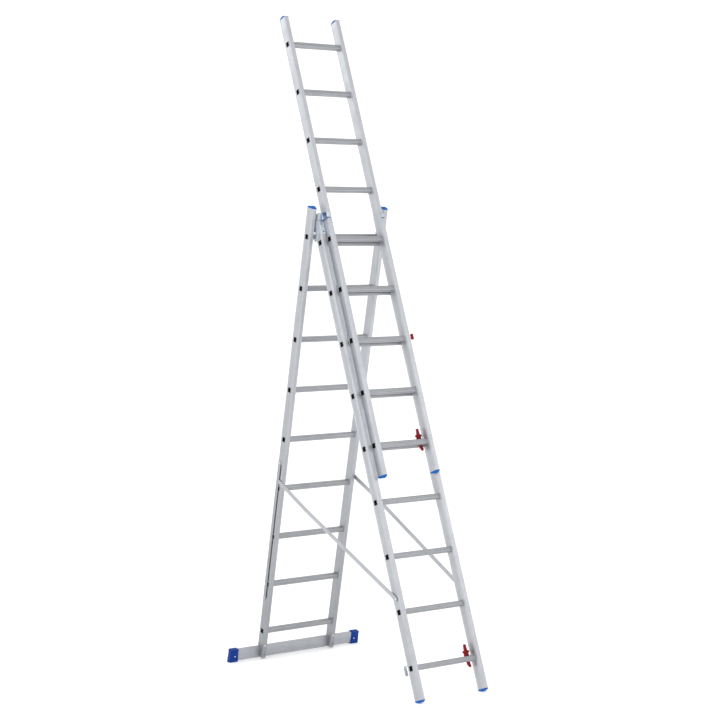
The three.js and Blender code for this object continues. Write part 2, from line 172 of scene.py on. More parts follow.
class LadderFittings(bpy.types.PropertyGroup):
    rivet_radius: FloatProperty(
        name="Rivet radius", description="Radius of a rivet's head",
        default=4.2 * MM, min=2 * MM, max=8 * MM, unit="LENGTH")
    rivet_height: FloatProperty(
        name="Rivet height", description="Height of a rivet's head",
        default=1.7 * MM, min=0.5 * MM, max=4 * MM, unit="LENGTH")
    edge_round: FloatProperty(
        name="Edge rounding", description="Rounding of the edges of pressed steel",
        default=0.6 * MM, min=0.1 * MM, max=2 * MM, unit="LENGTH")
    plastic_round: FloatProperty(
        name="Moulded rounding", description="Rounding of the edges of moulded plastic",
        default=1.3 * MM, min=0.2 * MM, max=3 * MM, unit="LENGTH")


class LadderStage(bpy.types.PropertyGroup):
    floor_colour: FloatVectorProperty(
        name="Floor", description="Colour of the studio floor", default=(0.9, 0.9, 0.9), **COLOUR)
    floor_glow: FloatProperty(
        name="Floor glow", description="Light that the floor gives by itself", default=0.22, min=0, max=1)
    key_power: FloatProperty(
        name="Key light", description="Power of the large light in front, on the left",
        default=190, min=0, unit="POWER")
    fill_power: FloatProperty(
        name="Fill light", description="Power of the light on the right", default=70, min=0, unit="POWER")
    sky: FloatProperty(
        name="Surrounding light", description="Strength of the even light from all round",
        default=1.0, min=0, max=3)


# ---- outlines and solids ----
def arc_points(centre, radius, start, end, steps):
    """Points of an arc, its two ends included; the angles are in degrees."""
    angles = (math.radians(start + (end - start) * step / steps) for step in range(steps + 1))
    return [Vector((centre[0] + radius * math.cos(a), centre[1] + radius * math.sin(a))) for a in angles]


def grooved_outline(width, height, corner, flat_grooves=(), upright_grooves=(), groove=1, depth=0):
    """A rounded rectangle drawn anticlockwise, with grooves of one width at the given places of its sides."""
    w, h, r = width / 2, height / 2, corner
    sides = (((0, -h), (1, 0), flat_grooves), ((w, 0), (0, 1), upright_grooves),
             ((0, h), (-1, 0), flat_grooves), ((-w, 0), (0, -1), upright_grooves))
    corners = ((w - r, -h + r), (w - r, h - r), (-w + r, h - r), (-w + r, -h + r))
    points = []
    for index, ((middle, along, grooves), centre) in enumerate(zip(sides, corners)):
        middle, along = Vector(middle), Vector(along)
        inward = Vector((-along.y, along.x))
        for place in grooves:
            for shift, sunk in ((-0.5, 0), (-0.28, 1), (0.28, 1), (0.5, 0)):
                points.append(middle + along * (place + shift * groove) + inward * (sunk * depth))
        points += arc_points(centre, r, 90 * index - 90, 90 * index, 5)
    return points


def shifted(points, across):
    return [Vector((p[0] + across, p[1])) for p in points]


def mirrored(points, sign):
    """The outline with its first axis turned over for the left side; the order keeps its sense."""
    if sign > 0:
        return list(points)
    return [Vector((-p[0], p[1])) for p in reversed(points)]


ALONG_X = lambda u, v, t: (t, u, v)
ALONG_Y = lambda u, v, t: (u, t, v)
ALONG_Z = lambda u, v, t: (u, v, t)


def add_prism(bm, points, start, end, axes):
    """A closed prism with the given outline, from start to end along the third axis."""
    low = [bm.verts.new(axes(p[0], p[1], start)) for p in points]
    high = [bm.verts.new(axes(p[0], p[1], end)) for p in points]
    faces = [bm.faces.new(list(reversed(low))), bm.faces.new(high)]
    for index, corner in enumerate(low):
        after = (index + 1) % len(low)
        faces.append(bm.faces.new((corner, low[after], high[after], high[index])))
    bmesh.ops.recalc_face_normals(bm, faces=faces)
    return low, high


def add_block(bm, low, high):
    outline = [(low[0], low[1]), (high[0], low[1]), (high[0], high[1]), (low[0], high[1])]
    add_prism(bm, outline, low[2], high[2], ALONG_Z)


def add_rod(bm, radius, start, end, y, z):
    """A round rod along x."""
    sides = 32
    add_prism(bm, arc_points((y, z), radius, 0, 360 * (sides - 1) / sides, sides - 1), start, end, ALONG_X)


def join_rings(bm, near, far):
    """A band of faces between two rings of as many corners."""
    count = len(near)
    return [bm.faces.new((near[i], near[(i + 1) % count], far[(i + 1) % count], far[i])) for i in range(count)]


def object_of(mesh, name):
    holder = bpy.data.objects.new(name, mesh)
    bpy.context.scene.collection.objects.link(holder)
    return holder


def object_from(bm, name, scale=MM):
    """An object in metres, at the origin, from a drawing in millimetres."""
    mesh = bpy.data.meshes.new(name)
    bm.to_mesh(mesh)
    bm.free()
    mesh.transform(Matrix.Scale(scale, 4))
    return object_of(mesh, name)


def discard(*holders):
    for holder in holders:
        bpy.data.objects.remove(holder)


def settle(holder, place=None, finish=None):
    """Makes the evaluated object a plain mesh in the ladder's frame."""
    bpy.context.view_layer.update()
    depsgraph = bpy.context.evaluated_depsgraph_get()
    mesh = bpy.data.meshes.new_from_object(
        holder.evaluated_get(depsgraph), preserve_all_data_layers=True, depsgraph=depsgraph)
    holder.modifiers.clear()
    holder.data = mesh
    if place is not None:
        mesh.transform(place)
    if finish is not None:
        mesh.materials.clear()
        mesh.materials.append(finish)
    mesh.shade_smooth()
    mesh.set_sharp_from_angle(angle=SHARP_ANGLE)
    if not mesh.polygons:
        raise RuntimeError(f"{holder.name} came out empty")


def hand_over(holder, body, slot, *nodes):
    """Fixes a finished piece to its body, with the CAD nodes that it stands for."""
    if nodes:
        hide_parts(*nodes)
    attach(holder, body)


def round_edges(holder, width, segments=3, angle=32):
    bevel = holder.modifiers.new("Rounded edges", "BEVEL")
    bevel.width = width
    bevel.segments = segments
    bevel.limit_method = "ANGLE"
    bevel.angle_limit = math.radians(angle)
    bevel.use_clamp_overlap = True


def softened_node(node, name, width, finish, body, slot):
    """A copy of a CAD solid, merged and with rounded edges."""
    bm = bmesh.new()
    bm.from_mesh(frame["nodes"][node].data)
    bmesh.ops.remove_doubles(bm, verts=bm.verts, dist=1e-5)
    bmesh.ops.dissolve_limit(bm, angle_limit=math.radians(1), verts=bm.verts, edges=bm.edges)
    holder = object_from(bm, name, 1)
    round_edges(holder, width)
    settle(holder, finish=finish)
    hand_over(holder, body, slot, node)


# ---- node trees ----
def feed(tree, made, inputs):
    """Fills a node's inputs; a value is a number, a colour, a datablock, a socket or a list of sockets."""
    for key, value in inputs.items():
        socket = made.inputs[key]
        for one in value if isinstance(value, list) else [value]:
            if isinstance(one, bpy.types.NodeSocket):
                tree.links.new(one, socket)
            else:
                socket.default_value = one


def node(tree, kind, inputs=None, **settings):
    made = tree.nodes.new(kind)
    for key, value in settings.items():
        setattr(made, key, value)
    feed(tree, made, inputs or {})
    return made


def geometry_tree(name, *inputs):
    """A geometry tree with a Geometry input and output and the given named inputs."""
    tree = bpy.data.node_groups.new(name, "GeometryNodeTree")
    tree.interface.new_socket(name="Geometry", in_out="INPUT", socket_type="NodeSocketGeometry")
    tree.interface.new_socket(name="Geometry", in_out="OUTPUT", socket_type="NodeSocketGeometry")
    for label, kind in inputs:
        tree.interface.new_socket(name=label, in_out="INPUT", socket_type=f"NodeSocket{kind}")
    entry = node(tree, "NodeGroupInput")
    return tree, entry.outputs


def tree_ends_in(tree, geometry):
    node(tree, "NodeGroupOutput", {"Geometry": geometry})


def run_tree(holder, tree, values):
    """Adds the tree as a modifier and sets its inputs by their sockets' identifiers."""
    modifier = holder.modifiers.new(tree.name, "NODES")
    modifier.node_group = tree
    sockets = {item.name: item.identifier for item in tree.interface.items_tree if item.in_out == "INPUT"}
    for label, value in values.items():
        modifier[sockets[label]] = value


def rung_line(tree, entry):
    step = node(tree, "ShaderNodeCombineXYZ", {"Z": entry["Rung Pitch"]})
    return node(tree, "GeometryNodeMeshLine", {"Count": entry["Rung Count"], "Offset": step.outputs[0]}, mode="OFFSET")


def faced_with(tree, geometry, finish):
    """The instances made real, in one finish."""
    whole = node(tree, "GeometryNodeRealizeInstances", {"Geometry": geometry})
    return node(tree, "GeometryNodeSetMaterial", {"Geometry": whole.outputs[0], "Material": finish}).outputs[0]


def pierced_extrusion_tree(name):
    """Draws a flat profile out along z and cuts it at every rung."""
    tree, entry = geometry_tree(
        name, ("Length", "Float"), ("Rung Count", "Int"), ("Rung Pitch", "Float"),
        ("Rung Cutter", "Object"), ("Other Cuts", "Object"), ("Finish", "Material"))
    drawn = node(tree, "GeometryNodeExtrudeMesh", {
        "Mesh": entry["Geometry"], "Offset": (0, 0, 1), "Offset Scale": entry["Length"], "Individual": False},
        mode="FACES")
    base = node(tree, "GeometryNodeFlipFaces", {"Mesh": entry["Geometry"]})
    closed = node(tree, "GeometryNodeJoinGeometry", {"Geometry": [drawn.outputs["Mesh"], base.outputs["Mesh"]]})
    merged = node(tree, "GeometryNodeMergeByDistance", {"Geometry": closed.outputs[0], "Distance": 0.01 * MM})
    cutter = node(tree, "GeometryNodeObjectInfo", {"Object": entry["Rung Cutter"]})
    cutters = node(tree, "GeometryNodeInstanceOnPoints", {
        "Points": rung_line(tree, entry).outputs["Mesh"], "Instance": cutter.outputs["Geometry"]})
    cut_shapes = node(tree, "GeometryNodeRealizeInstances", {"Geometry": cutters.outputs[0]})
    other = node(tree, "GeometryNodeObjectInfo", {"Object": entry["Other Cuts"]})
    pierced = node(tree, "GeometryNodeMeshBoolean", {
        "Mesh 1": merged.outputs[0], "Mesh 2": [cut_shapes.outputs[0], other.outputs["Geometry"]]},
        operation="DIFFERENCE", solver="EXACT")
    tree_ends_in(tree, faced_with(tree, pierced.outputs["Mesh"], entry["Finish"]))
    return tree


def rung_run_tree(name):
    """Repeats one rung up the section; faces marked bore get the near-black finish that paints shade inside the rung.
    """
    tree, entry = geometry_tree(
        name, ("Rung Count", "Int"), ("Rung Pitch", "Float"), ("Finish", "Material"), ("Bore Shade", "Material"))
    rungs = node(tree, "GeometryNodeInstanceOnPoints", {
        "Points": rung_line(tree, entry).outputs["Mesh"], "Instance": entry["Geometry"]})
    faced = faced_with(tree, rungs.outputs[0], entry["Finish"])
    bore = node(tree, "GeometryNodeInputNamedAttribute", {"Name": "bore"}, data_type="BOOLEAN")
    bored = node(tree, "GeometryNodeSetMaterial", {
        "Geometry": faced, "Selection": bore.outputs["Attribute"], "Material": entry["Bore Shade"]})
    tree_ends_in(tree, bored.outputs[0])
    return tree


def rivet_tree(name):
    """Puts a domed head with a thin rim on every point, turned along the point's facing."""
    tree, entry = geometry_tree(name, ("Head Radius", "Float"), ("Head Height", "Float"), ("Finish", "Material"))
    radius, height = entry["Head Radius"], entry["Head Height"]
    ball = node(tree, "GeometryNodeMeshUVSphere", {"Segments": 20, "Rings": 10, "Radius": 1})
    size = node(tree, "ShaderNodeCombineXYZ", {"X": radius, "Y": radius, "Z": height})
    dome = node(tree, "GeometryNodeTransform", {"Geometry": ball.outputs["Mesh"], "Scale": size.outputs[0]})
    rim_radius = node(tree, "ShaderNodeMath", {0: radius, 1: 1.18}, operation="MULTIPLY")
    rim_depth = node(tree, "ShaderNodeMath", {0: height, 1: 0.7}, operation="MULTIPLY")
    rim = node(tree, "GeometryNodeMeshCylinder", {
        "Vertices": 24, "Radius": rim_radius.outputs[0], "Depth": rim_depth.outputs[0]})
    head = node(tree, "GeometryNodeJoinGeometry", {"Geometry": [dome.outputs[0], rim.outputs["Mesh"]]})
    facing = node(tree, "GeometryNodeInputNamedAttribute", {"Name": "facing"}, data_type="FLOAT_VECTOR")
    turn = node(tree, "FunctionNodeAlignRotationToVector", {"Vector": facing.outputs["Attribute"]}, axis="Z")
    heads = node(tree, "GeometryNodeInstanceOnPoints", {
        "Points": entry["Geometry"], "Instance": head.outputs[0], "Rotation": turn.outputs[0]})
    tree_ends_in(tree, faced_with(tree, heads.outputs[0], entry["Finish"]))
    return tree


TREES = {"Pierced extrusion": pierced_extrusion_tree, "Rung run": rung_run_tree, "Rivets": rivet_tree}


def shared_tree(name):
    return bpy.data.node_groups.get(name) or TREES[name](name)


# ---- finishes ----
def surface(name):
    """A new material, its node tree and its main shader."""
    material = bpy.data.materials.new(name)
    material.use_nodes = True
    tree = material.node_tree
    return material, tree, tree.nodes["Principled BSDF"]


def piece_coordinates(tree, lean):
    """The object's coordinates, turned so that z runs up the leaning section."""
    own = node(tree, "ShaderNodeTexCoord")
    turned = node(tree, "ShaderNodeMapping", {"Vector": own.outputs["Object"], "Rotation": (lean, 0, 0)})
    return turned.outputs[0]


def noise(tree, vector, stretch, detail=3, roughness=0.55):
    """Noise of the given fineness, one number for all three axes or one for each."""
    fineness = stretch if isinstance(stretch, tuple) else (stretch,) * 3
    scaled = node(tree, "ShaderNodeVectorMath", {0: vector, 1: fineness}, operation="MULTIPLY")
    made = node(tree, "ShaderNodeTexNoise", {
        "Vector": scaled.outputs[0], "Scale": 1, "Detail": detail, "Roughness": roughness})
    return made.outputs["Fac"]


def mapped(tree, value, low, high, to_low, to_high):
    made = node(tree, "ShaderNodeMapRange", {
        "Value": value, "From Min": low, "From Max": high, "To Min": to_low, "To Max": to_high})
    return made.outputs[0]


def blended(tree, factor, first, second):
    """A colour between two, each of which is a socket or red, green and blue."""
    ends = [end if isinstance(end, bpy.types.NodeSocket) else (*end, 1) for end in (first, second)]
    made = node(tree, "ShaderNodeMix", {0: factor, 6: ends[0], 7: ends[1]}, data_type="RGBA")
    return made.outputs[2]


def worn_edge(tree, radius, share):
    """The given share on an edge, falling to 0 on a flat face."""
    own = node(tree, "ShaderNodeNewGeometry")
    rounded = node(tree, "ShaderNodeBevel", {"Radius": radius}, samples=4)
    likeness = node(tree, "ShaderNodeVectorMath", {0: own.outputs["Normal"], 1: rounded.outputs[0]},
                    operation="DOT_PRODUCT")
    edge = mapped(tree, likeness.outputs["Value"], 0.995, 0.86, 0, 1)
    return mapped(tree, edge, 0, 1, 0, share)


def tinted(colour, factor, lift=0):
    return tuple(min(1, channel * factor + lift) for channel in colour)


def added(tree, first, second):
    return node(tree, "ShaderNodeMath", {0: first, 1: second}, operation="ADD").outputs[0]


def bumped(tree, shader, height, strength, distance, under=None):
    inputs = {"Height": height, "Strength": strength, "Distance": distance}
    if under is not None:
        inputs["Normal"] = under
    bump = node(tree, "ShaderNodeBump", inputs)
    feed(tree, shader, {"Normal": bump.outputs[0]})
    return bump.outputs[0]


def drawn_aluminium(name, colour, lean, along, roughness, bottom_share=0.9):
    """Mill-finish aluminium with fine die lines along its length, soft clouding and bright worn edges.

    It grows darker towards the bottom, down to the given share of its colour."""
    material, tree, shader = surface(name)
    place = piece_coordinates(tree, lean)
    lines = noise(tree, place, tuple(7 if axis == along else 1500 for axis in "xyz"), 4)
    bands = noise(tree, place, tuple(2.5 if axis == along else 260 for axis in "xyz"), 2)
    clouds = noise(tree, place, 14, 5, 0.6)
    specks = noise(tree, place, 420, 2)
    base = blended(tree, mapped(tree, bands, 0.32, 0.68, 0, 1), tinted(colour, 0.9), tinted(colour, 1.06))
    clouded = blended(tree, mapped(tree, clouds, 0.45, 0.75, 0, 0.5), base, tinted(colour, 0.84))
    marked = blended(tree, mapped(tree, specks, 0.68, 0.78, 0, 0.35), clouded, tinted(colour, 0.62))
    whole = blended(tree, worn_edge(tree, 0.9 * MM, 0.6), marked, tinted(colour, 1.3))
    spot = node(tree, "ShaderNodeSeparateXYZ", {0: node(tree, "ShaderNodeTexCoord").outputs["Object"]})
    height = added(tree, spot.outputs["Z"], mapped(tree, clouds, 0.3, 0.8, -0.15, 0.15))
    towards_bottom = mapped(tree, height, 0.15, 1.7, bottom_share, 1)
    darkened = node(tree, "ShaderNodeVectorMath", {0: whole, "Scale": towards_bottom}, operation="SCALE")
    rough = added(tree, mapped(tree, lines, 0.3, 0.7, roughness - 0.08, roughness + 0.08),
                  mapped(tree, clouds, 0.35, 0.75, -0.03, 0.08))
    feed(tree, shader, {"Base Color": darkened.outputs[0], "Roughness": rough, "Metallic": 0.82, "Anisotropic": 0.35})
    first = bumped(tree, shader, lines, 0.22, 0.18 * MM)
    bumped(tree, shader, bands, 0.2, 0.3 * MM, first)
    return material


def zinc_plate(name, colour):
    """Bright zinc plating: cool, faintly iridescent clouds over a fine grain."""
    material, tree, shader = surface(name)
    place = piece_coordinates(tree, 0)
    clouds = noise(tree, place, 55, 5, 0.62)
    tint = noise(tree, place, (21, 33, 27), 3)
    grain = noise(tree, place, 1600, 2)
    cool = blended(tree, mapped(tree, clouds, 0.35, 0.7, 0, 1), tinted(colour, 0.78), tinted(colour, 1.16))
    warm = blended(tree, mapped(tree, tint, 0.55, 0.75, 0, 0.3), cool, (0.6, 0.58, 0.5))
    whole = blended(tree, worn_edge(tree, 0.8 * MM, 0.55), warm, (0.8, 0.82, 0.84))
    rough = mapped(tree, clouds, 0.3, 0.75, 0.24, 0.42)
    feed(tree, shader, {"Base Color": whole, "Roughness": rough, "Metallic": 0.92})
    bumped(tree, shader, grain, 0.18, 0.1 * MM)
    return material


def moulded_plastic(name, colour, roughness=0.42):
    """Moulded plastic with a fine spark-eroded grain, scuffs and paler worn edges."""
    material, tree, shader = surface(name)
    place = piece_coordinates(tree, 0.3)
    grain = noise(tree, place, 1900, 2)
    flow = noise(tree, place, 38, 4)
    scuffs = noise(tree, place, (90, 640, 150), 3, 0.7)
    base = blended(tree, mapped(tree, flow, 0.3, 0.7, 0, 1), tinted(colour, 0.86), tinted(colour, 1.12))
    scuffed = blended(tree, mapped(tree, scuffs, 0.64, 0.78, 0, 0.4), base, tinted(colour, 1.1, 0.012))
    whole = blended(tree, worn_edge(tree, 1.2 * MM, 0.3), scuffed, tinted(colour, 1.25, 0.01))
    rough = mapped(tree, scuffs, 0.3, 0.75, roughness - 0.05, roughness + 0.16)
    feed(tree, shader, {"Base Color": whole, "Roughness": rough, "Specular IOR Level": 0.16})
    bumped(tree, shader, grain, 0.25, 0.12 * MM)
    return material


def bore_painted_shade(name):
    """The inside of a hollow rung, out of the light: near-black painted shade over its dull oxide."""
    material, tree, shader = surface(name)
    bore_mottle = noise(tree, piece_coordinates(tree, 0), (60, 240, 240), 4)
    dark = blended(tree, mapped(tree, bore_mottle, 0.3, 0.7, 0, 1), (0.003, 0.003, 0.0035), (0.012, 0.012, 0.013))
    rough = mapped(tree, bore_mottle, 0.3, 0.7, 0.75, 0.95)
    feed(tree, shader, {"Base Color": dark, "Roughness": rough, "Specular IOR Level": 0.15})
    return material


def studio_floor(name, colour):
    """A matt floor with faint mottling and a little light of its own."""
    material, tree, shader = surface(name)
    mottle = noise(tree, piece_coordinates(tree, 0), 3, 4)
    feed(tree, shader, {
        "Base Color": blended(tree, mottle, tinted(colour, 0.985), colour), "Roughness": 0.9,
        "Specular IOR Level": 0.1, "Emission Color": (1, 1, 1, 1),
        "Emission Strength": bpy.context.scene.ladder_stage.floor_glow})
    return material


def finish_called(name):
    """Makes a finish the first time that a piece asks for it."""
    found = bpy.data.materials.get(name)
    if found:
        return found
    colours = bpy.context.scene.ladder_finishes
    stile, rung, zinc = tuple(colours.stile_colour), tuple(colours.rung_colour), tuple(colours.zinc_colour)
    kind, _, section = name.partition("_of_")
    lean = LEANS.get(section, 0)
    makers = {
        # Stiles grow darker towards the bottom; the rear section's stronger darkening is painted shade, as it stands
        # behind the middle one.
        "drawn_stile": lambda: drawn_aluminium(name, stile, lean, "z", 0.4, 0.66 if section == "rear" else 0.88),
        "ribbed_rung": lambda: drawn_aluminium(name, rung, lean, "x", 0.44),
        "stay_strip": lambda: drawn_aluminium(name, stile, 0.9, "z", 0.38),
        "stabiliser_extrusion": lambda: drawn_aluminium(name, stile, lean, "x", 0.42, 0.86),
        "rivet_aluminium": lambda: drawn_aluminium(name, (0.74, 0.75, 0.77), 0, "z", 0.34),
        # Painted shade: the inside of the hollow rungs is near black.
        "rung_bore_shade": lambda: bore_painted_shade(name),
        "zinc_plate": lambda: zinc_plate(name, zinc),
        # Painted shade: a darker blue zinc for the guide's web and the strap's lowest band.
        "zinc_painted_shade": lambda: zinc_plate(name, (0.11, 0.18, 0.31)),
        # Dark steel for the rear section's bolts, and painted shade where it fills the guide's hole.
        "dark_bolt_and_hole_shade": lambda: zinc_plate(name, (0.12, 0.13, 0.15)),
        "blue_cap": lambda: moulded_plastic(name, tuple(colours.cap_colour)),
        "blue_foot": lambda: moulded_plastic(name, tuple(colours.foot_colour), 0.46),
        "red_lever": lambda: moulded_plastic(name, tuple(colours.lever_colour), 0.4),
        "studio_floor": lambda: studio_floor(name, tuple(bpy.context.scene.ladder_stage.floor_colour)),
    }
    return makers[kind]()


# ---- operators ----
class StageOperator(bpy.types.Operator):
    """Lays the studio floor, hangs the lights and sets up the camera"""
    bl_idname = "ladder.add_stage"
    bl_label = "Stage"

    REACH, RISE, BEND = 14000, 9000, 3500
    FLOOR_TURN = -34
    AZIMUTH, ELEVATION, ROLL = -33.933, 1.674, -1.608
    STAND = (-5.030, -7.4828, 1.9303)
    FOCAL_LENGTH = 85.297

    def execute(self, context):
        settings = context.scene.ladder_stage
        self.lay_floor()
        self.hang(context, "key_light", (-6.0, -5.6, 4.2), 4.5, settings.key_power)
        self.hang(context, "fill_light", (6.5, -5.0, 3.0), 4.0, settings.fill_power)
        self.hang(context, "rear_light", (-3.5, 7.5, 5.5), 4.0, settings.fill_power)
        world = bpy.data.worlds.new("studio")
        world.use_nodes = True
        context.scene.world = world
        feed(world.node_tree, world.node_tree.nodes["Background"], {
            "Color": (1, 1, 1, 1), "Strength": settings.sky})
        context.scene.view_settings.view_transform = "Standard"
        self.aim_camera(context)
        return {"FINISHED"}

    def lay_floor(self):
        """A floor that bends up into a wall behind the ladder."""
        bm = bmesh.new()
        bend = arc_points((self.REACH - self.BEND, self.BEND), self.BEND, -90, 0, 16)
        profile = [(-self.REACH, 0), (self.REACH - self.BEND, 0), *[(p.x, p.y) for p in bend][1:],
                   (self.REACH, self.RISE)]
        rows = [[bm.verts.new((x, y, z)) for y, z in profile] for x in (-self.REACH, self.REACH)]
        for index in range(len(profile) - 1):
            bm.faces.new((rows[0][index], rows[1][index], rows[1][index + 1], rows[0][index + 1]))
        floor = object_from(bm, "studio_floor")
        floor.data.transform(Matrix.Rotation(math.radians(self.FLOOR_TURN), 4, "Z"))
        floor.data.materials.append(finish_called("studio_floor"))
        floor.data.shade_smooth()

    def hang(self, context, name, place, size, power):
        """A square lamp that faces the ladder's middle."""
        lamp = bpy.data.lights.new(name, "AREA")
        lamp.size = size
        lamp.energy = power
        holder = bpy.data.objects.new(name, lamp)
        holder.location = place
        holder.rotation_euler = (Vector((0, 0, 1.5)) - Vector(place)).to_track_quat("-Z", "Y").to_euler()
        context.scene.collection.objects.link(holder)

    def aim_camera(self, context):
        """Stands in front of the ladder, on its left, just above half its height."""
        azimuth, elevation, roll = (math.radians(v) for v in (self.AZIMUTH, self.ELEVATION, self.ROLL))
        level_share = math.cos(elevation)
        forward = Vector((-math.sin(azimuth) * level_share, math.cos(azimuth) * level_share, -math.sin(elevation)))
        right = Vector((math.cos(azimuth), math.sin(azimuth), 0))
        up = right.cross(forward)
        level = right * math.cos(roll) + up * math.sin(roll)
        upright = up * math.cos(roll) - right * math.sin(roll)
        lens = bpy.data.cameras.new("camera")
        lens.sensor_width = 36
        lens.lens = self.FOCAL_LENGTH
        lens.clip_end = 60
        holder = bpy.data.objects.new("camera", lens)
        turn = Matrix((level, upright, -forward)).transposed().to_4x4()
        turn.translation = self.STAND
        holder.matrix_world = turn
        context.scene.collection.objects.link(holder)
        context.scene.camera = holder


def profile_object(name, outer, inner, height):
    """A flat ring between two outlines, facing up, ready to be drawn out."""
    bm = bmesh.new()
    edges = []
    for outline in (outer, inner):
        ring = [bm.verts.new((p[0], p[1], height)) for p in outline]
        edges += [bm.edges.new((corner, ring[(index + 1) % len(ring)])) for index, corner in enumerate(ring)]
    bmesh.ops.triangle_fill(bm, use_beauty=True, edges=edges, normal=(0, 0, 1))
    for face in bm.faces:
        if face.normal.z < 0:
            face.normal_flip()
    return object_from(bm, name)


class StilesOperator(bpy.types.Operator):
    """Draws the six grooved stiles and pierces them for their rungs"""
    bl_idname = "ladder.add_stiles"
    bl_label = "Stiles"

    CORNER, INNER_CORNER = 3.6, 2
    NARROW_GROOVES, WIDE_GROOVES, GROOVE_WIDTH = (-6.5, 0, 6.5), (-23, -18.5, 18.5, 23), 2.4
    RUNG_HOLE = {"width": 30.6, "height": 28.6, "corner": 7.2}
    TRACK_SLOT = {"across": -3.5, "radius": 4.5, "margin": 15, "depth": 4}
    PIN_HOLE_RADIUS, PIN_HEIGHT, PLUNGER_HOLE_RADIUS = 6.3, 33.2, 4.3
    THROUGH = 17.5

    def execute(self, context):
        settings = context.scene.ladder_extrusions
        wall, groove = settings.stile_wall / MM, settings.stile_groove / MM
        outer = grooved_outline(STILE_WIDTH, STILE_DEPTH, self.CORNER, self.NARROW_GROOVES, self.WIDE_GROOVES,
                                self.GROOVE_WIDTH, groove)
        inner = grooved_outline(STILE_WIDTH - 2 * wall, STILE_DEPTH - 2 * wall, self.INNER_CORNER)
        tree = shared_tree("Pierced extrusion")
        for section in SECTIONS:
            half = WIDTHS[section] / 2
            bm = bmesh.new()
            add_prism(bm, grooved_outline(**self.RUNG_HOLE), -half - 10, half + 10, ALONG_X)
            rung_cutter = object_from(bm, "rung_hole_cutter")
            below = APRON_DROP if section == "rear" else STILE_BELOW
            for side, sign in SIDES:
                centre = stile_centre(section, sign)
                stile = profile_object(f"{section}_stile_{side}_extrusion", shifted(outer, centre),
                                       shifted(inner, centre), -below)
                cuts = self.other_cuts(section, centre, sign)
                run_tree(stile, tree, {
                    "Length": (below + TOP_RUNG + STILE_ABOVE) * MM, "Rung Count": settings.rung_count,
                    "Rung Pitch": settings.rung_pitch, "Rung Cutter": rung_cutter, "Other Cuts": cuts,
                    "Finish": finish_called(f"drawn_stile_of_{section}")})
                settle(stile, PLACES[section])
                hand_over(stile, f"{section}_section", "stile_aluminium", f"{section}_stile_{side}")
                discard(cuts)
            discard(rung_cutter)
        return {"FINISHED"}

    def other_cuts(self, section, centre, sign):
        """The cuts that only one section's stile has; a small one far outside where there are none."""
        bm = bmesh.new()
        if section == "rear":
            bar_top = -BAR_DROP + GAP
            add_block(bm, (centre - 25, BAR_FRONT - GAP, bar_top - 90), (centre + 25, 60, bar_top))
            across, radius, margin, depth = self.TRACK_SLOT.values()
            low, high = TRACK_LOW + margin + radius, TRACK_HIGH - margin - radius
            slot = arc_points((across, high), radius, 0, 180, 8) + arc_points((across, low), radius, 180, 360, 8)
            face = centre + sign * STILE_WIDTH / 2
            add_prism(bm, slot, face - depth, face + depth, ALONG_X)
            ends = sorted((centre - sign * self.THROUGH, centre - sign * 5))
            add_rod(bm, self.PIN_HOLE_RADIUS, *ends, 0, TOP_RUNG + self.PIN_HEIGHT)
        elif section == "middle" and sign > 0:
            add_rod(bm, self.PLUNGER_HOLE_RADIUS, centre - self.THROUGH, centre + self.THROUGH, LOCK_BACK, LOCK_HEIGHT)
        else:
            add_block(bm, (centre - 1, 200, 0), (centre + 1, 202, 2))
        return object_from(bm, "stile_cuts")


